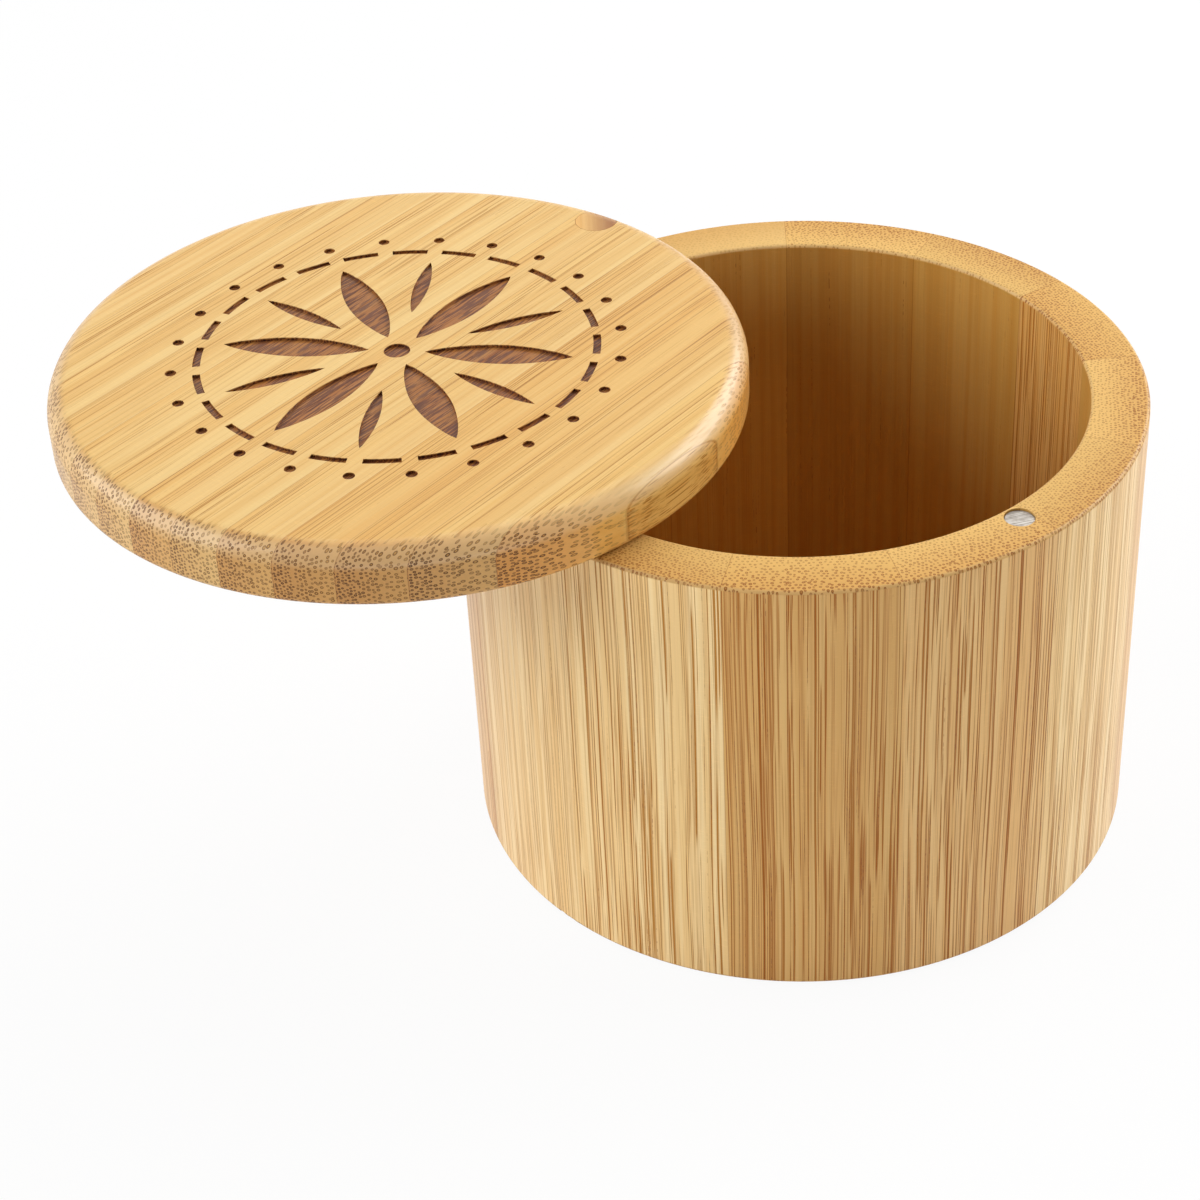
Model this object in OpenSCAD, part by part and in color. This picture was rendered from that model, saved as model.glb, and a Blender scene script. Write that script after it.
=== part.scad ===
// Bamboo salt box, turned, with a round lid that swings aside on one screw.
//
// The ring is coopered from tapered staves and bored out. The floor and the lid
// are boards of upright strips, glued edge to edge and turned. The lid is captive:
// it turns on the plain shank of a screw in the rim, and a plug hides the screw's
// head. A magnet in the front of the rim meets one in the lid when the box is shut.
//
// Millimetres. The origin is the centre of the underside and +Z is up. The pivot
// is at the back (+Y) and the magnets are at the front (-Y). Strips run front to back.

/* [Ring] */
// Outside diameter, turned alike on the ring and the lid
body_d = 88.9; // [80:0.1:110]
// Height of the ring, from the table to the rim
ring_h = 62; // [45:0.5:90]
// Thickness of the ring's wall
wall = 7.35; // [6.8:0.05:12]
// Rounding of the ring's rims
rim_ease = 0.5; // [0.2:0.1:0.8]
// Number of staves round the ring
stave_count = 13; // [11:1:16]
// Direction of the first glue joint between staves, from +X
first_joint_deg = -88; // [-100:0.5:-80]

/* [Floor] */
// Thickness of the floor
floor_t = 6; // [4:0.5:10]
// How far the floor is let into the wall all round
rebate = 3; // [1.5:0.25:4]
// Number of strips across the floor
floor_strips = 13; // [9:2:17]

/* [Lid] */
// Thickness of the lid
lid_t = 7.65; // [6.8:0.05:12]
// Running gap between the lid and the rim
lid_gap = 0.2; // [0.1:0.05:0.4]
// Rounding of the lid's upper edge
lid_top_round = 3; // [1:0.1:4]
// Rounding of the lid's lower edge
lid_bottom_round = 1; // [0.3:0.1:1.5]
// Number of whole strips across the lid
lid_whole_strips = 13; // [9:2:13]
// Width left of the two outermost strips, where the turned edge cuts through them
lid_offcut_w = 0.9; // [0.5:0.05:1.5]
// How far the lid stands open, from shut
open_deg = 76.7; // [0:0.1:180]

/* [Glue] */
// Thickness of the glue round a part that is let in
glue = 0.05; // [0.02:0.01:0.1]

/* [Pivot] */
// Diameter of the screw's shank
screw_d = 3; // [2.5:0.1:3.4]
// Depth of the screw in the ring
screw_depth = 18; // [10:0.5:30]
// Length of the screw's point
screw_point = 3; // [1:0.5:4]
// Play between the screw's thread and its hole in the ring, on the radius
thread_fit = 0.02; // [0.01:0.01:0.04]
// Running clearance round the shank in the lid, on the radius
shank_clear = 0.08; // [0.05:0.01:0.1]
// Diameter of the screw's head
head_d = 5; // [4.6:0.1:5.2]
// Height of the screw's head
head_h = 2; // [1.6:0.1:2.4]
// Clearance that lets the lid turn, under the head and over it
head_clear = 0.1; // [0.05:0.01:0.15]
// Wood between the screw's head and the lid's underside
head_seat = 2.4; // [1.6:0.1:3]
// Width of each slot of the cross in the head
cross_w = 0.8; // [0.6:0.1:1]
// Depth of the cross in the head
cross_depth = 1.1; // [0.8:0.1:1.4]
// Diameter of the plug over the screw
plug_d = 5.6; // [5.4:0.1:5.8]

/* [Magnets] */
// Diameter of each magnet
magnet_d = 3.7; // [3:0.1:4.6]
// Thickness of each magnet
magnet_t = 3; // [1.5:0.1:4]
// Distance of the magnets' centres from the outside of the wall
magnet_inset = 4.95; // [3.2:0.05:5]
// Depth of the rim's magnet below the rim
rim_magnet_sunk = 0.25; // [0.1:0.05:1]
// Depth of the lid's magnet above its underside
lid_magnet_sunk = 0.2; // [0.1:0.05:1]

/* [Hidden] */
$fn = 96;
// The large turned surfaces, fine enough for the thin outer strips of the lid
turned_fn = 240;
// One step outwards, so that a cut goes clean through a face
past = 1;

body_r = body_d / 2;
bore_r = body_r - wall;
rebate_r = bore_r + rebate;
floor_r = rebate_r - glue;

stave_deg = 360 / stave_count;
floor_strip_w = 2 * floor_r / floor_strips;
lid_strips = lid_whole_strips + 2;
lid_strip_w = (body_d - 2 * lid_offcut_w) / lid_whole_strips;

// The pivot stands in the middle of the wall
pivot_y = body_r - wall / 2;
magnet_y = magnet_inset - body_r;
lid_z = ring_h + lid_gap;
head_z = lid_z + head_seat + head_clear;
plug_z = head_seat + head_h + 2 * head_clear;
head_round = head_h / 3;
cross_len = head_d - head_h;

function numbered(name, i) = str(name, "_", i < 10 ? "0" : "", i);
STAVES = [for (i = [1:stave_count]) numbered("stave", i)];
FLOOR_STRIPS = [for (i = [1:floor_strips]) numbered("floor_strip", i)];
LID_STRIPS = [for (i = [1:lid_strips]) numbered("lid_strip", i)];

// A bar's section, w by h, with all four corners rounded to r
module eased_section(w, h, r) {
    translate([r, 0]) square([w - 2 * r, h]);
    translate([0, r]) square([w, h - 2 * r]);
    for (x = [r, w - r], y = [r, h - r]) translate([x, y]) circle(r);
}

// Half the section of the ring: the wall, with the rebate for the floor cut away
module ring_section() {
    difference() {
        translate([bore_r, 0]) eased_section(wall, ring_h, rim_ease);
        translate([0, -past]) square([rebate_r, floor_t + past]);
    }
}

// Half the section of the lid, with a full round above and a small one below
module lid_section() {
    square([body_r - lid_top_round, lid_t]);
    square([body_r - lid_bottom_round, lid_t - lid_top_round]);
    translate([0, lid_bottom_round])
        square([body_r, lid_t - lid_top_round - lid_bottom_round]);
    translate([body_r - lid_top_round, lid_t - lid_top_round]) circle(lid_top_round);
    translate([body_r - lid_bottom_round, lid_bottom_round]) circle(lid_bottom_round);
}

// The whole lid as it leaves the lathe, underside at z = 0
module lid_blank() {
    rotate_extrude($fn = turned_fn) lid_section();
}

// The room of strip i of a board of count strips, each w wide, in a disc of radius r.
// The middle strip lies on the middle line and the outermost run out past the edge.
module strip_room(i, count, w, r, h) {
    from_middle = i - (count + 1) / 2;
    x0 = i == 1 ? -r - past : (from_middle - 1 / 2) * w;
    x1 = i == count ? r + past : (from_middle + 1 / 2) * w;
    translate([x0, -r - past, -past]) cube([x1 - x0, 2 * (r + past), h + 2 * past]);
}

// Carries what belongs to the lid from its shut place to where it stands open
module on_lid() {
    translate([0, pivot_y, lid_z]) rotate(-open_deg) translate([0, -pivot_y, 0]) children();
}

// Everything drilled into the ring from the rim: the screw's hole and the magnet's
module ring_drilling() {
    translate([0, pivot_y, ring_h - screw_depth])
        cylinder(d = screw_d + 2 * thread_fit, h = screw_depth + past);
    translate([0, magnet_y, ring_h - rim_magnet_sunk - magnet_t - glue])
        cylinder(d = magnet_d + 2 * glue, h = rim_magnet_sunk + magnet_t + glue + past);
}

// Everything drilled into the lid: shank hole, counterbore and magnet pocket
module lid_drilling() {
    translate([0, pivot_y, -past])
        cylinder(d = screw_d + 2 * shank_clear, h = lid_t + 2 * past);
    translate([0, pivot_y, head_seat])
        cylinder(d = plug_d + 2 * glue, h = lid_t);
    translate([0, magnet_y, -past])
        cylinder(d = magnet_d + 2 * glue, h = lid_magnet_sunk + magnet_t + glue + past);
}

// One stave of the ring, between two glue joints that point at the axis
module stave(i) {
    color("#dcb37c")
        difference() {
            rotate(first_joint_deg + (i - 1) * stave_deg)
                rotate_extrude(angle = stave_deg) ring_section();
            ring_drilling();
        }
}

// One strip of the floor, turned to the rebate
module floor_strip(i) {
    color("#c9975a")
        intersection() {
            cylinder(r = floor_r, h = floor_t);
            strip_room(i, floor_strips, floor_strip_w, floor_r, floor_t);
        }
}

// One strip of the lid; the middle one takes the pivot and the magnet
module lid_strip(i) {
    color("#f0cb88")
        on_lid()
            difference() {
                intersection() {
                    lid_blank();
                    strip_room(i, lid_strips, lid_strip_w, body_r, lid_t);
                }
                lid_drilling();
            }
}

// Steel screw: point and shank in the ring, plain shank and head in the lid
module pivot_screw() {
    tip_z = ring_h - screw_depth + glue;
    color("#b9bcc0")
        translate([0, pivot_y, 0])
            difference() {
                union() {
                    translate([0, 0, tip_z])
                        cylinder(d1 = screw_d / 4, d2 = screw_d, h = screw_point);
                    translate([0, 0, tip_z + screw_point])
                        cylinder(d = screw_d, h = head_z - tip_z - screw_point);
                    translate([0, 0, head_z]) rotate_extrude() head_section();
                }
                for (a = [0, 90])
                    rotate(a)
                        translate([-cross_len / 2, -cross_w / 2, head_z + head_h - cross_depth])
                            cube([cross_len, cross_w, cross_depth + past]);
            }
}

// Half the section of the screw's pan head, rounded above
module head_section() {
    square([head_d / 2 - head_round, head_h]);
    square([head_d / 2, head_h - head_round]);
    translate([head_d / 2 - head_round, head_h - head_round]) circle(head_round);
}

// End-grain plug over the screw, turned flush with the lid's rounded edge
module pivot_plug() {
    color("#b98a58")
        on_lid()
            intersection() {
                lid_blank();
                translate([0, pivot_y, plug_z]) cylinder(d = plug_d, h = lid_t);
            }
}

// Nickel-plated disc in the rim
module rim_magnet() {
    color("#c8c8c6")
        translate([0, magnet_y, ring_h - rim_magnet_sunk - magnet_t])
            cylinder(d = magnet_d, h = magnet_t);
}

// Its partner in the lid's underside, over the first when the box is shut
module lid_magnet() {
    color("#c8c8c6")
        on_lid() translate([0, magnet_y, lid_magnet_sunk]) cylinder(d = magnet_d, h = magnet_t);
}

for (i = [1:stave_count])
    stave(i);
for (i = [1:floor_strips])
    floor_strip(i);
for (i = [1:lid_strips])
    lid_strip(i);
pivot_screw();
pivot_plug();
rim_magnet();
lid_magnet();
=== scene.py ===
"""Bamboo salt box with a round lid that swings aside on one screw."""

import math

import bmesh
import bpy
from mathutils import Matrix, Vector


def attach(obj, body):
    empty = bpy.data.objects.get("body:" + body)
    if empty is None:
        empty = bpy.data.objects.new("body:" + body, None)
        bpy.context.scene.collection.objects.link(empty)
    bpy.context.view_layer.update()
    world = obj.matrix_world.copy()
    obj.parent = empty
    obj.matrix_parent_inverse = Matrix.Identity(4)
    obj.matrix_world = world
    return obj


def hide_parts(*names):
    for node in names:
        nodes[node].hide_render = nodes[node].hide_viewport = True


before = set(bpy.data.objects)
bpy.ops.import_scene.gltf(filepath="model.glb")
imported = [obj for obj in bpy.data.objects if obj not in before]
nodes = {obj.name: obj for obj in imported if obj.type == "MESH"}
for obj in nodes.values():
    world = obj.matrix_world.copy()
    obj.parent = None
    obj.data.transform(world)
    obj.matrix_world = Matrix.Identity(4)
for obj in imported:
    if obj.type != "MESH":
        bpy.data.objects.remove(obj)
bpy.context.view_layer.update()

# ---------------------------------------------------------------- the ring
# Thirteen tapered staves of split bamboo, glued edge to edge and turned to a ring. Each is
# about as deep as the wall of the culm it came from, so its end shows the fibre bundles as
# brown dots, close set towards the culm's skin, and its faces show them as long streaks.

MM = 0.001
RING_R = 44.45
WALL = 7.35
MIDWALL_R = RING_R - WALL / 2
STAVES = 13
STAVE_DEG = 360 / STAVES
FIRST_JOINT_DEG = -88
# Bundles lie in rows like stacked pipes, this much of their distance apart, but scattered
ROW_STEP = math.sqrt(3) / 2
SCATTER = 0.55
# Fibres wander within a band this wide as they run up the culm
WANDER = 0.7
# How softly a loose fibre ends at its sides, and the radius of a pore and its soft edge
FIBRE_EDGE = 0.045
PORE_R, PORE_EDGE = 0.06, 0.04
# Glue stains the wood as far as this from a joint, and fully up to here
GLUE_REACH, GLUE_FULL = 0.09, 0.02


def stain(red, green, blue):
    """A colour written as it looks on a screen, 0 to 255, as a shader wants it."""
    shown = [c / 255 for c in (red, green, blue)]
    linear = [c / 12.92 if c <= 0.04045 else ((c + 0.055) / 1.055) ** 2.4 for c in shown]
    return (*linear, 1)


def fill(socket, value):
    """Links a socket, or gives it a plain value."""
    if isinstance(value, Grain):
        value.tree.links.new(value.socket, socket)
    else:
        socket.default_value = value


class Grain:
    """A socket in a material's nodes. Arithmetic on it adds Math nodes."""

    def __init__(self, tree, socket=None):
        self.tree = tree
        self.socket = socket

    def node(self, kind, settings, sockets, out=0):
        """Adds a node: first its settings, then the values or links of its sockets."""
        made = self.tree.nodes.new("ShaderNode" + kind)
        for name, value in settings.items():
            setattr(made, name, value)
        for name, value in sockets.items():
            fill(made.inputs[name], value)
        return Grain(self.tree, made.outputs[out] if made.outputs else None)

    def beside(self, out):
        """Another output of the same node."""
        return Grain(self.tree, self.socket.node.outputs[out])

    def math(self, how, *others):
        return self.node("Math", {"operation": how}, dict(enumerate((self, *others))))

    def __add__(self, other):
        return self.math("ADD", other)

    def __sub__(self, other):
        return self.math("SUBTRACT", other)

    def __rsub__(self, other):
        return self.node("Math", {"operation": "SUBTRACT"}, {0: other, 1: self})

    def __mul__(self, other):
        return self.math("MULTIPLY", other)

    __radd__ = __add__
    __rmul__ = __mul__

    def size(self):
        return self.math("ABSOLUTE")

    def larger(self, other):
        return self.math("MAXIMUM", other)

    def more_than(self, limit):
        return self.math("GREATER_THAN", limit)

    def rise(self, low, high):
        """0 up to low and 1 from high, or the other way round where low is the higher."""
        return self.node(
            "MapRange",
            {"interpolation_type": "SMOOTHSTEP"},
            {"Value": self, "From Min": low, "From Max": high},
        )

    def vector(self, how, other):
        return self.node("VectorMath", {"operation": how}, {0: self, 1: other})

    def along(self, *axis):
        """How far a vector reaches along an axis."""
        return self.node("VectorMath", {"operation": "DOT_PRODUCT"}, {0: self, 1: axis}, "Value")

    def length(self):
        return self.node("VectorMath", {"operation": "LENGTH"}, {0: self}, "Value")

    def noise(self, detail, scale=1.0, out=0):
        sockets = {"Vector": self, "Scale": scale, "Detail": detail}
        return self.node("TexNoise", {}, sockets, out)

    def cells(self, randomness):
        """Cells round scattered points, and how far off the nearest point is."""
        sockets = {"Vector": self, "Scale": 1.0, "Randomness": randomness}
        return self.node("TexVoronoi", {"voronoi_dimensions": "2D"}, sockets)

    def paint(self, colour):
        """A plain colour to start from."""
        made = self.node("RGB", {}, {})
        made.socket.default_value = colour
        return made

    def blend(self, how, other, amount):
        settings = {"data_type": "RGBA", "blend_type": how}
        return self.node("Mix", settings, {0: amount, 6: self, 7: other}, 2)

    def towards(self, other, amount):
        """This colour, blended towards another."""
        return self.blend("MIX", other, amount)

    def shaded(self, other, amount=1.0):
        """This colour, multiplied by another."""
        return self.blend("MULTIPLY", other, amount)

    def bump(self, height):
        """The surface's direction, with a height in millimetres on it."""
        return self.node("Bump", {}, {"Height": height, "Distance": MM})


def gathered(x, y, z):
    return x.node("CombineXYZ", {}, {"X": x, "Y": y, "Z": z})


def largest(masks):
    first, *others = masks
    for mask in others:
        first = first.larger(mask)
    return first


def finish(name, surface):
    """A material with one Principled surface, whose sockets surface fills in."""
    material = bpy.data.materials.new(name)
    material.use_nodes = True
    tree = material.node_tree
    shader = next(n for n in tree.nodes if n.type == "BSDF_PRINCIPLED")
    for socket, value in surface(Grain(tree)).items():
        fill(shader.inputs[socket], value)
    return material


def wear(piece, material):
    piece.data.materials.clear()
    piece.data.materials.append(material)


def bundle_ends(there, u, deep, bundles, seed):
    """The fibre bundles as masks: their dots on the end, paler hearts and narrow cores."""
    layers = []
    for layer, (apart, radius, inner, outer) in enumerate(bundles):
        # A lattice of rows, each half a step on from the last
        step = there.along(1 / apart, 0.5 / ROW_STEP / apart, 0) + (seed * 3.7 + layer * 11.3)
        row = there.along(0, 1 / ROW_STEP / apart, 0) + (seed * 5.1 + layer * 4.9)
        lattice = gathered(step, row, 0)
        cell = lattice.cells(SCATTER)
        chance = cell.beside("Color")
        off = cell.beside("Position").vector("SUBTRACT", lattice)
        to_v = off.along(apart, -0.5 * apart, 0)
        to_u = off.along(0, ROW_STEP * apart, 0)
        reach = gathered(to_v, to_u, 0).length()
        centre = 0.5 + (u + to_u) * (1 / deep)
        kept = centre.more_than(inner) * (1 - centre.more_than(outer))
        kept = kept * (chance.along(0, 0.5, 0) + 0.65)
        edge = (chance.along(0.4, 0, 0) + 0.85) * radius
        dot = (edge * 1.1 - reach).rise(0, radius * 0.3) * kept
        heart = (edge * 0.65 - reach).rise(0, radius * 0.35) * kept
        core = (edge * 0.55 - reach).rise(0, radius * 0.2) * kept
        layers.append((dot, heart, core))
    return [largest(masks) for masks in zip(*layers)]


def loose_fibres(there, w, streaks, clump, seed):
    """The loose fibres along a face as masks: fading lines, and the broken pores on them."""
    lines = []
    pores = []
    for layer, (apart, radius, strength, broken) in enumerate(streaks):
        lattice = there.vector("MULTIPLY", (1 / apart, 1 / apart, 0))
        lattice = lattice.vector("ADD", (seed * 1.9 + layer * 3.3, seed * 0.7, 0))
        cell = lattice.cells(1.0)
        chance = cell.beside("Color")
        fading = gathered(chance.along(31, 0, 0), chance.along(0, 31, 0), w * 0.035).noise(0)
        edge = (chance.along(0.5, 0, 0) + 0.75) * (radius / apart)
        line = (edge - cell).rise(0, FIBRE_EDGE / apart) * fading.rise(0.3, 0.38)
        line = line * (chance.along(0, 0.5, 0) + 0.5) * (0.7 + 0.3 * clump) * strength
        dash = gathered(chance.along(17, 0, 0), chance.along(0, 17, 0), w * 1.3).noise(1)
        pore = (PORE_R / apart - cell).rise(0, PORE_EDGE / apart) * dash.rise(0.52, 0.6)
        pore = pore * chance.along(0, 0, 1).rise(0.6, 0.8) * broken
        lines.append(line)
        pores.append(pore)
    return largest(lines), largest(pores)


def bamboo(
    name,
    home,
    axes,
    deep,
    bundles,
    cut,
    streaks,
    tone,
    seed,
    coat,
    wear_and_sheen=None,
    joint=None,
    burnt=None,
    paler=None,
):
    """Split bamboo as a solid texture, in millimetres from the point home.

    axes are three directions, whose distances are v, u and w: across the split, towards the
    culm's skin and along the fibres. deep is the thickness of the culm's wall.
    bundles are the layers of fibre bundles that its end shows: distance apart, radius, and
    the depths between which they lie, where 0 is inside the culm and 1 is its skin. cut is
    how strongly a bundle and its core show where a face cuts along them. streaks are the
    loose fibres there: distance apart, radius, strength and how deep their pores are.
    tone is the colour inside the culm, at its skin, on the sawn end, of a bundle on the end
    and of a streak; in the stave tones the inside colour is partly painted shade. coat is how
    thick the finish lies along the fibres and on the end. worn is the colour of the upper
    arrises and how much of it they have: partly rubbed wear, partly a painted sheen. joint
    gives the distance to the glue, and burnt chars the surface. paler is how strongly a painted
    sheen washes the sawn end paler and fades its bundles along the fibres, and between which
    distances.
    """
    inside, skin, sawn, bundle, streak = (stain(*colour) for colour in tone)

    def surface(grain):
        spot = grain.node("TexCoord", {}, {}, "Object")
        facing = spot.beside("Normal")
        local = spot.vector("SUBTRACT", home).vector("MULTIPLY", (1 / MM,) * 3)
        v, u, w = (local.along(*axis) for axis in axes)
        end = facing.along(*axes[2]).size().rise(0.04, 0.4)
        depth = 0.5 + u * (1 / deep)
        skinward = depth.rise(-0.1, 1.0)

        slow = gathered(v * 0.05 + seed * 7.3, u * 0.05, w * 0.027)
        drift = slow.noise(0, out="Color").vector("SUBTRACT", (0.5, 0.5, 0.5))
        drift = drift.vector("MULTIPLY", (WANDER, WANDER, 0))
        there = gathered(v, u, 0).vector("ADD", drift)
        fibre = gathered(v * 4.5 + seed, u * 4.5, w * 0.05).noise(2)
        band = gathered(v * 0.8 + seed * 2.1, u * 0.8, w * 0.012).noise(1)
        dots, hearts, cores = bundle_ends(there, u, deep, bundles, seed)
        loose, pores = loose_fibres(there, w, streaks, band.rise(0.4, 0.56), seed)
        lines = (dots * cut[0]).larger(cores * cut[1]).larger(loose)

        # Along the fibres: darker bands, golden fibres and streaks, and open pores
        split_face = grain.paint(inside).towards(skin, skinward)
        split_face = split_face.shaded(stain(251, 242, 226), band.rise(0.62, 0.38))
        golden = grain.paint(streak).towards(sawn, band.rise(0.4, 0.6) * 0.2)
        split_face = split_face.towards(golden, fibre.rise(0.54, 0.63) * (0.06 + 0.2 * skinward))
        split_face = split_face.towards(golden, lines * (0.13 + 0.87 * skinward))
        split_face = split_face.shaded(stain(176, 124, 74), pores)

        # On the sawn end: brown dots with paler hearts, on a ground that darkens to the skin
        ground = grain.paint(sawn).shaded(stain(240, 228, 212), skinward)
        brown = dots * (0.72 + 0.28 * skinward)
        hollow = hearts * (0.8 - 0.4 * skinward)
        # Towards the fibres' far end a painted sheen washes the sawn end paler and fades its
        # bundles.
        if paler:
            far_sheen_much, paler_from, paler_to = paler
            far = far_sheen_much * w.rise(paler_from, paler_to)
            sawn_face = ground.towards(bundle, brown * (1 - far)).towards(ground, hollow)
            sawn_face = sawn_face.towards(skin, 0.8 * far)
        else:
            sawn_face = ground.towards(bundle, brown).towards(ground, hollow)

        colour = split_face.towards(sawn_face, end)
        scratch = gathered(v * 0.6 + seed, u * 0.6, w * 11).noise(1).rise(0.64, 0.7) * (1 - end)
        light = 0.875 + 0.2 * fibre + 0.1 * band + 0.07 * scratch
        colour = colour.shaded(gathered(light, light, light))
        # The upper arrises turn paler: partly rubbed wear, partly a painted sheen on the rounds
        # that face partly upward.
        if wear_and_sheen:
            wear_sheen_colour, wear_sheen_much = wear_and_sheen
            rising = facing.along(0, 0, 1)
            arris = rising.rise(0.05, 0.5) * rising.rise(1, 0.86) * wear_sheen_much
            colour = colour.towards(stain(*wear_sheen_colour), arris * (1 - 0.8 * dots * end))
        if joint:
            glued = joint(v, u).rise(GLUE_REACH, GLUE_FULL)
            colour = colour.shaded(stain(205, 180, 150), glued * 0.6)
        rough = 0.36 + 0.12 * end + 0.16 * fibre + 0.05 * lines
        height = 0.015 * fibre * (1.2 - end) - 0.005 * dots * end
        height = height - (0.01 * lines + 0.03 * pores) * (1 - end)
        if burnt:
            colour, rough, height = burnt((v, u, w), colour, rough, height)
        # The finish sinks into the open bundles
        film = coat[0] + (coat[1] - coat[0]) * end
        return {
            "Base Color": colour,
            "Roughness": rough,
            "Normal": grain.bump(height),
            "IOR": 1.45,
            "Specular IOR Level": 0.3,
            "Coat Weight": film * (1 - 0.7 * dots * end - 0.7 * lines * (1 - end)),
            "Coat Roughness": 0.24,
        }

    return finish(name, surface)


def stave_joint(turned):
    """How far a place is from the nearer of a stave's two joints, which point at the axis."""
    half_angle = math.radians(STAVE_DEG / 2)

    def gap(v, u):
        radius = u * turned + MIDWALL_R
        return radius * math.sin(half_angle) - v.size() * math.cos(half_angle)

    return gap


# Tones: inside, skin, sawn end, bundle and streak. The inside colours are partly painted shade:
# darker than the skin, they darken the wall and floor within the box, where little light falls.
HONEY = (216, 172, 96), (222, 178, 108), (217, 173, 97), (134, 72, 12), (160, 90, 4)
STRAW = (196, 150, 75), (235, 193, 127), (219, 176, 101), (138, 76, 14), (160, 92, 4)
PALE = (200, 155, 79), (248, 218, 160), (214, 172, 98), (142, 80, 22), (172, 108, 12)
FAINT = (215, 171, 92), (247, 214, 154), (218, 178, 108), (196, 152, 82), (184, 122, 42)
# From the joint at the magnet on, a mixed batch of splits, as they come to hand
STAVE_TONES = [PALE, STRAW, HONEY, PALE, STRAW, FAINT, FAINT]
STAVE_TONES += [HONEY, STRAW, PALE, PALE, HONEY, STRAW]
STREAKINESS = [0.8, 0.8, 1.0, 0.7, 0.8, 0.8, 0.8, 1.0, 0.9, 0.65, 0.95, 1.2, 1.05]
BUNDLES_APART = [0.5, 0.54, 0.5, 0.52, 0.56, 0.6, 0.5, 0.56, 0.5, 0.54, 0.5, 0.62, 0.56]
# Layers of bundles from the inside of the culm out: radius per distance apart, and depths
BUNDLE_LAYERS = [(0.22, -1, 0.35), (0.25, 0.35, 0.72), (0.28, 0.72, 2)]
STAVE_CUT = (0.25, 0.7)
WIDE_STREAKS = (0.44, 0.13, 1.5, 0.7)
NARROW_STREAKS = (0.3, 0.08, 1.3, 0.4)
# One stave is the middle of a thicker culm, laid skin side in
REVERSED_STAVE = 3
THICKER = 1.8

for i in range(STAVES):
    stave_name = f"stave_{i + 1:02d}"
    middle = math.radians(FIRST_JOINT_DEG + (i + 0.5) * STAVE_DEG)
    outward = Vector((math.cos(middle), math.sin(middle), 0))
    sideways = Vector((-math.sin(middle), math.cos(middle), 0))
    is_reversed = i + 1 == REVERSED_STAVE
    turned = -1 if is_reversed else 1
    apart = BUNDLES_APART[i]
    streaky = STREAKINESS[i]
    stave_streaks = [
        (between, radius, strength * streaky, broken)
        for between, radius, strength, broken in (WIDE_STREAKS, NARROW_STREAKS)
    ]
    stave_bamboo = bamboo(
        f"{stave_name}_bamboo",
        outward * MIDWALL_R * MM,
        (sideways, outward * turned, (0, 0, 1)),
        WALL * THICKER if is_reversed else WALL,
        [(apart, apart * size, low, high) for size, low, high in BUNDLE_LAYERS],
        [strength * streaky for strength in STAVE_CUT],
        stave_streaks,
        STAVE_TONES[i],
        seed=i + 1,
        coat=(0.42, 0.15),
        wear_and_sheen=((252, 229, 186), 0.14),
        joint=stave_joint(turned),
    )
    wear(nodes[stave_name], stave_bamboo)

# --------------------------------------------------------------- the floor
# A disc of upright bamboo strips, glued edge to edge, let into a rebate in the ring from
# below and glued there. Its strips run from front to back.

FLOOR_STRIPS = 13
FLOOR_R = 40.05
FLOOR_T = 6
FLOOR_STRIP_W = 2 * FLOOR_R / FLOOR_STRIPS
FLOOR_TONES = (HONEY, STRAW, PALE)
# Strips for a board are split thinner than staves, with finer streaks
BOARD = {
    "bundles": [(0.62, 0.17, -1, 0.38), (0.54, 0.155, 0.38, 0.66), (0.46, 0.14, 0.66, 2)],
    "cut": (0.12, 0.75),
    "streaks": [(0.42, 0.09, 1.3, 0.25), (0.3, 0.055, 1.05, 0.1)],
}


def strip_joint(width):
    """How far a place is from the nearer of a strip's two joints."""
    return lambda v, u: width / 2 - u.size()


for i in range(FLOOR_STRIPS):
    strip_name = f"floor_strip_{i + 1:02d}"
    strip_middle = (i - (FLOOR_STRIPS - 1) / 2) * FLOOR_STRIP_W
    floor_bamboo = bamboo(
        f"{strip_name}_bamboo",
        Vector((strip_middle, 0, FLOOR_T / 2)) * MM,
        ((0, 0, 1), (-1, 0, 0), (0, 1, 0)),
        FLOOR_STRIP_W,
        tone=FLOOR_TONES[i % len(FLOOR_TONES)],
        seed=20 + i,
        coat=(0.4, 0.2),
        joint=strip_joint(FLOOR_STRIP_W),
        **BOARD,
    )
    wear(nodes[strip_name], floor_bamboo)

# ----------------------------------------------------------------- the lid
# A board of upright bamboo strips, glued and turned to a disc with a full round above and
# a small one below, sanded and oiled. A rosette is burnt into its top, a little below the
# surface. It stands swung aside on its screw, so its strips run askew to the floor's.

LID_R = RING_R
LID_T = 7.65
LID_Z = 62.2
LID_TOP_ROUND = 3
LID_BOTTOM_ROUND = 1
LID_STRIPS = 15
LID_STRIP_W = 6.7
OPEN_DEG = 76.7
PIVOT_Y = 40.775
TURNED_STEPS = 288

swing = (
    Matrix.Translation(Vector((0, PIVOT_Y * MM, 0)))
    @ Matrix.Rotation(math.radians(-OPEN_DEG), 4, "Z")
    @ Matrix.Translation(Vector((0, -PIVOT_Y * MM, LID_Z * MM)))
    @ Matrix.Scale(MM, 4)
)


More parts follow.
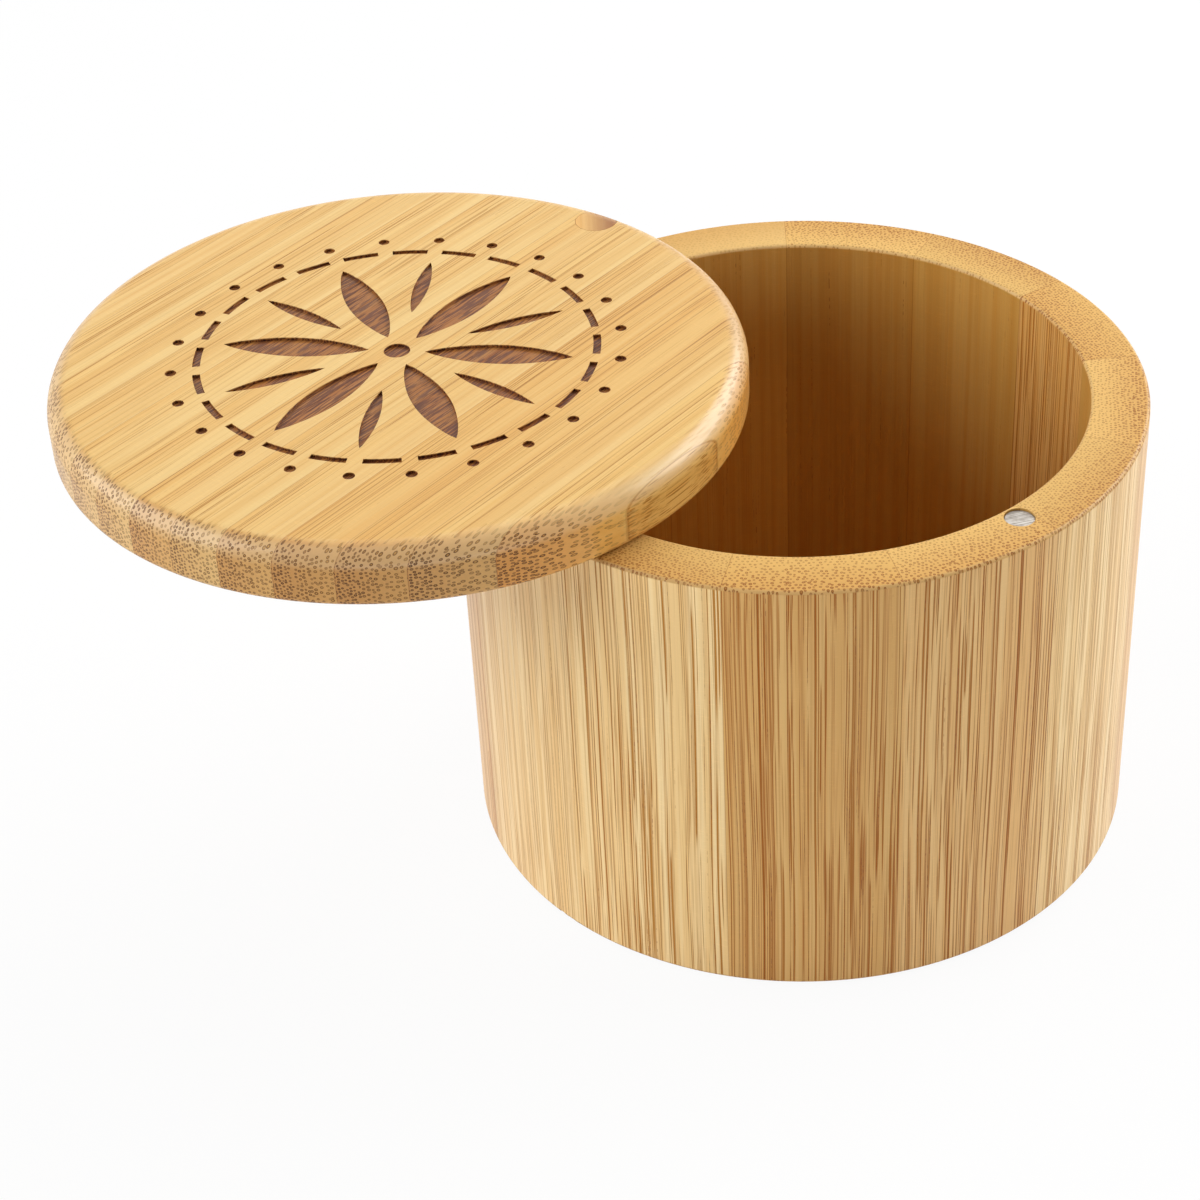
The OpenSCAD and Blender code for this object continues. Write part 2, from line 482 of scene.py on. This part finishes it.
def lathe(section, steps):
    """A closed mesh turned from a section that starts and ends on the axis."""
    bm = bmesh.new()
    rings = []
    for r, z in section:
        if r == 0:
            rings.append([bm.verts.new((0, 0, z))])
            continue
        turns = [2 * math.pi * k / steps for k in range(steps)]
        rings.append([bm.verts.new((r * math.cos(a), r * math.sin(a), z)) for a in turns])
    for low, high in zip(rings, rings[1:]):
        for k in range(steps):
            corners = [low[k % len(low)], low[(k + 1) % len(low)]]
            corners += [high[(k + 1) % len(high)], high[k % len(high)]]
            bm.faces.new(dict.fromkeys(corners))
    bmesh.ops.recalc_face_normals(bm, faces=bm.faces)
    return bm


def piece(name, bm, place=Matrix.Identity(4), sharp_deg=30):
    """An object with the mesh, smooth but for its sharp edges."""
    mesh = bpy.data.meshes.new(name)
    bm.to_mesh(mesh)
    bm.free()
    mesh.transform(place)
    mesh.shade_smooth()
    mesh.set_sharp_from_angle(angle=math.radians(sharp_deg))
    made = bpy.data.objects.new(name, mesh)
    bpy.context.scene.collection.objects.link(made)
    return made


def arc(centre_r, centre_z, radius, start_deg, end_deg, steps):
    turns = [math.radians(start_deg + (end_deg - start_deg) * k / steps) for k in range(steps + 1)]
    return [(centre_r + radius * math.cos(a), centre_z + radius * math.sin(a)) for a in turns]


# The section has a hair's breadth of flat before each round, which keeps the flats flat
HAIR = 0.08
bottom_r = LID_R - LID_BOTTOM_ROUND
top_r = LID_R - LID_TOP_ROUND
top_z = LID_T - LID_TOP_ROUND
lid_section = [(0, 0), (bottom_r - HAIR, 0)]
lid_section += arc(bottom_r, LID_BOTTOM_ROUND, LID_BOTTOM_ROUND, -90, 0, 8)
lid_section += [(LID_R, LID_BOTTOM_ROUND + HAIR), (LID_R, top_z - HAIR)]
lid_section += arc(top_r, top_z, LID_TOP_ROUND, 0, 90, 16)
lid_section += [(top_r - HAIR, LID_T), (0, LID_T)]
blank = piece("lid_blank", lathe(lid_section, TURNED_STEPS))


def prism(bm, outline, low, high):
    """Adds an upright prism to a mesh."""
    foot = [bm.verts.new((x, y, low)) for x, y in outline]
    head = [bm.verts.new((x, y, high)) for x, y in outline]
    bm.faces.new(foot[::-1])
    bm.faces.new(head)
    for k in range(len(foot)):
        n = (k + 1) % len(foot)
        bm.faces.new([foot[k], foot[n], head[n], head[k]])


def circle(x, y, r, steps):
    turns = [2 * math.pi * k / steps for k in range(steps)]
    return [(x + r * math.cos(a), y + r * math.sin(a)) for a in turns]


def petal(start, end, width, turn_deg, steps=20):
    """A leaf between two arcs, pointing away from the centre."""
    spots = [k / steps for k in range(steps + 1)]
    side = [(start + (end - start) * t, width / 2 * math.sin(math.pi * t) ** 0.8) for t in spots]
    outline = side[::-1] + [(x, -y) for x, y in side[1:-1]]
    c, s = math.cos(math.radians(turn_deg)), math.sin(math.radians(turn_deg))
    return [(x * c - y * s, x * s + y * c) for x, y in outline]


def dash(inner_r, outer_r, start_deg, sweep_deg, steps=12):
    """A stroke along part of a ring."""
    turns = [math.radians(start_deg + sweep_deg * k / steps) for k in range(steps + 1)]
    outline = [(outer_r * math.cos(a), outer_r * math.sin(a)) for a in turns]
    return outline + [(inner_r * math.cos(a), inner_r * math.sin(a)) for a in turns[::-1]]


# The rosette: an eye, broad and slender petals by turns, a broken ring and a ring of dots
BURN_DEPTH = 0.4
EYE_R = 1.7
PETALS = 6
PETAL_DEG = 360 / PETALS
PETAL_TIP = 22.6
BROAD_FOOT, BROAD_W = 3.6, 4.6
SLENDER_FOOT, SLENDER_W = 9.5, 2.0
DASHES = 24
DASH_STEP_DEG = 360 / DASHES
DASH_DEG = 10.6
DASH_INNER_R, DASH_OUTER_R = 24.9, 25.9
DOTS_R, DOT_R = 28.6, 0.75
burn_z = LID_T - BURN_DEPTH
# Every cut starts or ends this far outside the wood, so that it goes clean through a face
PAST = 1
cuts = bmesh.new()
for k in range(PETALS):
    broad = petal(BROAD_FOOT, PETAL_TIP, BROAD_W, PETAL_DEG * (k + 0.5))
    prism(cuts, broad, burn_z, LID_T + PAST)
    slender = petal(SLENDER_FOOT, PETAL_TIP, SLENDER_W, PETAL_DEG * k)
    prism(cuts, slender, burn_z, LID_T + PAST)
prism(cuts, circle(0, 0, EYE_R, 32), burn_z, LID_T + PAST)
for k in range(DASHES):
    dash_start = DASH_STEP_DEG * k + (DASH_STEP_DEG - DASH_DEG) / 2
    prism(cuts, dash(DASH_INNER_R, DASH_OUTER_R, dash_start, DASH_DEG), burn_z, LID_T + PAST)
    dot_turn = math.radians(DASH_STEP_DEG * k)
    dot = circle(DOTS_R * math.cos(dot_turn), DOTS_R * math.sin(dot_turn), DOT_R, 16)
    prism(cuts, dot, burn_z, LID_T + PAST)
# What is drilled into the middle strip: shank hole, magnet pocket and counterbore
SHANK_HOLE_R, COUNTERBORE_R, HEAD_SEAT = 1.58, 2.85, 2.4
POCKET_R, POCKET_DEEP, MAGNET_Y = 1.9, 3.25, -39.5
prism(cuts, circle(0, PIVOT_Y, SHANK_HOLE_R, 48), -PAST, HEAD_SEAT + PAST / 2)
prism(cuts, circle(0, MAGNET_Y, POCKET_R, 48), -PAST, POCKET_DEEP)
counterbore = bmesh.new()
prism(counterbore, circle(0, PIVOT_Y, COUNTERBORE_R, 64), HEAD_SEAT, LID_T + PAST)

cutters = [piece("lid_cuts", cuts), piece("lid_counterbore", counterbore)]
for cutter in cutters:
    carve = blank.modifiers.new(cutter.name, "BOOLEAN")
    carve.operation, carve.solver, carve.object = "DIFFERENCE", "EXACT", cutter
bpy.context.view_layer.update()
carved = bpy.data.meshes.new_from_object(
    blank.evaluated_get(bpy.context.evaluated_depsgraph_get())
)
for spent in (blank, *cutters):
    bpy.data.objects.remove(spent)

DEEP_GOLD = (220, 177, 103), (218, 172, 93), (203, 151, 79), (70, 32, 2), (147, 91, 20)
CREAM = (223, 188, 120), (222, 181, 106), (219, 177, 109), (74, 35, 3), (154, 100, 24)
GOLD = (222, 184, 115), (221, 179, 103), (210, 161, 90), (72, 34, 3), (151, 95, 21)
# AMBER's orange end is painted shade, warmed by light from the rim.
AMBER = (223, 185, 111), (222, 180, 103), (224, 162, 74), (86, 44, 5), (147, 91, 20)
# The strips keep tones of their own, but their order also paints light and shade round the lid's
# edge: CREAM's pale ends where the left lamp lights it, DEEP_GOLD's dark ones at the front and
# AMBER at the shaded front right.
STRIP_TONES_AND_EDGE_LIGHT = [DEEP_GOLD, GOLD, CREAM, CREAM, CREAM, CREAM, CREAM, GOLD]
STRIP_TONES_AND_EDGE_LIGHT += [CREAM, GOLD, DEEP_GOLD, DEEP_GOLD, GOLD, AMBER, AMBER]
# The char reaches this far from the lid's centre, past the dots
CHAR_R = 31
turn = math.radians(-OPEN_DEG)
lid_side = Vector((math.cos(turn), math.sin(turn), 0))
lid_along = Vector((-math.sin(turn), math.cos(turn), 0))
lid_middle = swing @ Vector((0, 0, LID_T / 2))


def scorched(strip_middle):
    """Chars a strip wherever the board's top is burnt away, below its surface."""

    def burnt(local, colour, rough, height):
        v, u, w = local
        x = strip_middle - u
        out = (x * x + w * w).math("SQRT")
        under_top = v.rise(LID_T / 2 - 0.03, LID_T / 2 - 0.16)
        on_burn = v.rise(burn_z - LID_T / 2 - 0.3, burn_z - LID_T / 2 - 0.1)
        char = under_top * on_burn * out.rise(CHAR_R, CHAR_R - 0.5)
        ash = gathered(v * 2.5, u * 4.5, w * 0.3).noise(3)
        colour = colour.shaded(stain(182, 144, 106), char)
        colour = colour.shaded(stain(160, 138, 118), char * ash.rise(0.44, 0.56))
        return colour, rough + char * 0.3, height + char * ash * 0.05

    return burnt


for i in range(LID_STRIPS):
    strip_name = f"lid_strip_{i + 1:02d}"
    strip_middle = (i - (LID_STRIPS - 1) / 2) * LID_STRIP_W
    bm = bmesh.new()
    bm.from_mesh(carved)
    for side in (-1, 1):
        # The outermost strips run out to the turned edge
        if (i, side) in ((0, -1), (LID_STRIPS - 1, 1)):
            continue
        sawn = bmesh.ops.bisect_plane(
            bm,
            geom=bm.verts[:] + bm.edges[:] + bm.faces[:],
            dist=1e-5,
            plane_co=(strip_middle + side * LID_STRIP_W / 2, 0, 0),
            plane_no=(side, 0, 0),
            clear_outer=True,
        )
        rim = [e for e in sawn["geom_cut"] if isinstance(e, bmesh.types.BMEdge)]
        bmesh.ops.edgeloop_fill(bm, edges=rim)
    strip = piece(f"lid_board_{i + 1:02d}", bm, swing)
    strip_bamboo = bamboo(
        f"{strip_name}_bamboo",
        lid_middle + lid_side * strip_middle * MM,
        ((0, 0, 1), -lid_side, lid_along),
        LID_STRIP_W,
        tone=STRIP_TONES_AND_EDGE_LIGHT[i],
        seed=40 + i,
        coat=(0.6, 0.65),
        # The lid's rounded arrises carry wear and painted sheen, and its strips' far ends, at the
        # back right, a painted sheen.
        wear_and_sheen=((224, 192, 146), 0.42),
        joint=strip_joint(LID_STRIP_W),
        burnt=scorched(strip_middle),
        paler=(0.55, 5, 42),
        **BOARD,
    )
    wear(strip, strip_bamboo)
    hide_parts(strip_name)
    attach(strip, "lid")

# --------------------------------------------------------------- the pivot
# A steel pan-head screw stands in the wall at the back: its point grips the ring and the
# lid turns on its plain shank. A plug of darker bamboo, glued in over the head and turned
# with the lid, hides it.


def turned_steel(grain):
    """Bright steel with the rings that the lathe left round it."""
    spot = grain.node("TexCoord", {}, {}, "Object").vector("MULTIPLY", (1 / MM,) * 3)
    marks = spot.noise(4, scale=3.0)
    rings = spot.vector("MULTIPLY", (0, 0, 9)).noise(2)
    steel = grain.paint(stain(196, 196, 194))
    return {
        "Base Color": steel.towards(stain(150, 148, 144), marks.rise(0.4, 0.75)),
        "Metallic": 1.0,
        "Roughness": 0.28 + 0.2 * marks,
        "Normal": grain.bump(0.01 * rings + 0.004 * marks),
    }


wear(nodes["pivot_screw"], finish("screw_steel", turned_steel))

# The plug's fibres run level and its outer half is the darker, skinward one
PLUG_D = 5.6
PLUG_DOWN = 2
plug_turn = math.radians(53.3)
plug_along = Vector((math.cos(plug_turn), math.sin(plug_turn), 0))
plug_skinward = Vector((math.sin(plug_turn), -math.cos(plug_turn), 0))
plug_bamboo = bamboo(
    "plug_bamboo",
    swing @ Vector((0, PIVOT_Y, LID_T - PLUG_DOWN)),
    ((0, 0, 1), plug_skinward, plug_along),
    PLUG_D,
    bundles=[(0.6, 0.12, -1, 2)],
    cut=(0.1, 0.3),
    streaks=[(0.5, 0.12, 0.35, 0.3)],
    tone=((226, 180, 108), (150, 98, 50), (196, 148, 84), (130, 84, 36), (150, 100, 50)),
    seed=60,
    coat=(0.4, 0.4),
)
wear(nodes["pivot_plug"], plug_bamboo)

# ------------------------------------------------------------- the magnets
# Two discs of nickel-plated magnet, pressed and glued into drilled pockets: one just below
# the rim at the front, one in the lid's underside, over the first when the box is shut.

MAGNET_R = 1.85
MAGNET_T = 3.0
MAGNET_BEVEL = 0.1
RING_H = 62
RIM_SUNK, LID_SUNK = 0.25, 0.2


def plated(grain):
    """Ground flat before it was plated, so the marks of the wheel show through."""
    spot = grain.node("TexCoord", {}, {}, "Object").vector("MULTIPLY", (1 / MM,) * 3)
    x, y, z = spot.along(0.92, -0.39, 0), spot.along(0.39, 0.92, 0), spot.along(0, 0, 1)
    ground = gathered(x * 0.12, y * 4.5, z * 4.5).noise(1)
    cloud = spot.noise(3, scale=1.1)
    nickel = grain.paint(stain(176, 171, 164)).towards(stain(154, 147, 139), cloud.rise(0.4, 0.7))
    return {
        "Base Color": nickel.shaded(stain(204, 201, 198), ground.rise(0.44, 0.6)),
        "Metallic": 1.0,
        "Roughness": 0.42 + 0.2 * ground,
        "Normal": grain.bump(0.02 * ground),
    }


magnet_nickel = finish("magnet_nickel", plated)
flat_r = MAGNET_R - MAGNET_BEVEL
magnet_section = [(0, 0), (flat_r, 0)]
magnet_section += arc(flat_r, MAGNET_BEVEL, MAGNET_BEVEL, -90, 0, 5)
magnet_section += arc(flat_r, MAGNET_T - MAGNET_BEVEL, MAGNET_BEVEL, 0, 90, 5)
magnet_section += [(0, MAGNET_T)]
in_rim = Matrix.Translation((0, MAGNET_Y, RING_H - RIM_SUNK - MAGNET_T))
in_lid = Matrix.Translation((0, MAGNET_Y, LID_SUNK))
for node_name, body, place in (
    ("rim_magnet", "box", Matrix.Scale(MM, 4) @ in_rim),
    ("lid_magnet", "lid", swing @ in_lid),
):
    disc = piece(node_name.replace("_", "_disc_"), lathe(magnet_section, 64), place)
    wear(disc, magnet_nickel)
    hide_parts(node_name)
    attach(disc, body)

# ------------------------------------------------ sheet, camera and lights
# A white sheet under the box and white all round, seen from the front left and above. Soft
# lights stand above and at both sides, so the wall is darker in front than at its flanks.

scene = bpy.context.scene
scene.view_settings.view_transform = "Standard"

SHEET = 3.0
SHEET_BELOW = 0.0002
SHEET_WHITE = 0.82
SHEET_GLOW = 0.93
ROOM_LIGHT = 0.12


def seen(grain):
    """1 for the rays that show the background: to the camera, in gloss and through glass."""
    path = grain.node("LightPath", {}, {}, "Is Camera Ray")
    return path.larger(path.beside("Is Glossy Ray")).larger(path.beside("Is Transmission Ray"))


sheet_mesh = bpy.data.meshes.new("table_sheet")
sheet_mesh.from_pydata(
    [(-SHEET, -SHEET, 0), (SHEET, -SHEET, 0), (SHEET, SHEET, 0), (-SHEET, SHEET, 0)],
    [],
    [(0, 1, 2, 3)],
)
sheet = bpy.data.objects.new("table_sheet", sheet_mesh)
scene.collection.objects.link(sheet)
sheet.location.z = -SHEET_BELOW
paper = bpy.data.materials.new("white_paper")
paper.use_nodes = True
paper.node_tree.nodes.clear()
start = Grain(paper.node_tree)
matt = start.node("BsdfDiffuse", {}, {"Color": (SHEET_WHITE, SHEET_WHITE, SHEET_WHITE, 1)})
glow = start.node("Emission", {}, {"Color": (1, 1, 1, 1), "Strength": 1.0})
shown = start.node("MixShader", {}, {0: seen(start) * SHEET_GLOW, 1: matt, 2: glow})
start.node("OutputMaterial", {}, {"Surface": shown})
sheet.data.materials.append(paper)

world = bpy.data.worlds.new("white_room")
scene.world = world
world.use_nodes = True
world.node_tree.nodes.clear()
room = Grain(world.node_tree)
dim = room.node("Background", {}, {"Color": (1, 1, 1, 1), "Strength": ROOM_LIGHT})
bright = room.node("Background", {}, {"Color": (1, 1, 1, 1), "Strength": 1.0})
around = room.node("MixShader", {}, {0: seen(room), 1: dim, 2: bright})
room.node("OutputWorld", {}, {"Surface": around})

# The camera looks down on the box from the front left, a little tilted
CAMERA_AT = (-0.202331, -0.226938, 0.251596)
HEADING, PITCH, ROLL = (math.radians(a) for a in (-36.688, 36.179, -3.174))
SENSOR, FOCAL_LENGTH, NEAREST = 36, 83.657, 0.01
level = Vector((math.cos(HEADING), math.sin(HEADING), 0))
forward = Vector((-math.sin(HEADING), math.cos(HEADING), 0))
ahead = forward * math.cos(PITCH) - Vector((0, 0, math.sin(PITCH)))
upward = level.cross(ahead)
right = level * math.cos(ROLL) + upward * math.sin(ROLL)
up = upward * math.cos(ROLL) - level * math.sin(ROLL)
lens = bpy.data.cameras.new("camera")
lens.sensor_width, lens.lens, lens.clip_start = SENSOR, FOCAL_LENGTH, NEAREST
camera = bpy.data.objects.new("camera", lens)
looking = Matrix((right, up, -ahead)).transposed().to_4x4()
camera.matrix_world = Matrix.Translation(CAMERA_AT) @ looking
scene.collection.objects.link(camera)
scene.camera = camera

AIM = Vector((-0.015, 0.01, 0.035))


def softbox(name, sideways, onward, high, width, height, radiance):
    """A soft light aimed at the box, placed as the camera sees it; radiance is its face's."""
    lamp = bpy.data.lights.new(name, "AREA")
    lamp.shape, lamp.size, lamp.size_y = "RECTANGLE", width, height
    lamp.energy = radiance * math.pi * width * height
    stand = bpy.data.objects.new(name, lamp)
    stand.location = level * sideways + forward * onward + Vector((0, 0, high))
    stand.rotation_euler = (AIM - stand.location).to_track_quat("-Z", "Y").to_euler()
    scene.collection.objects.link(stand)


softbox("light_left", -0.72, -0.05, 0.52, 0.9, 0.6, 3.9)
softbox("light_right", 0.62, 0.34, 0.46, 0.85, 0.5, 6.0)
softbox("light_back", 0.0, 0.4, 0.82, 0.5, 0.5, 1.8)
softbox("light_front", 0.1, -0.9, 0.08, 1.2, 0.3, 2.1)
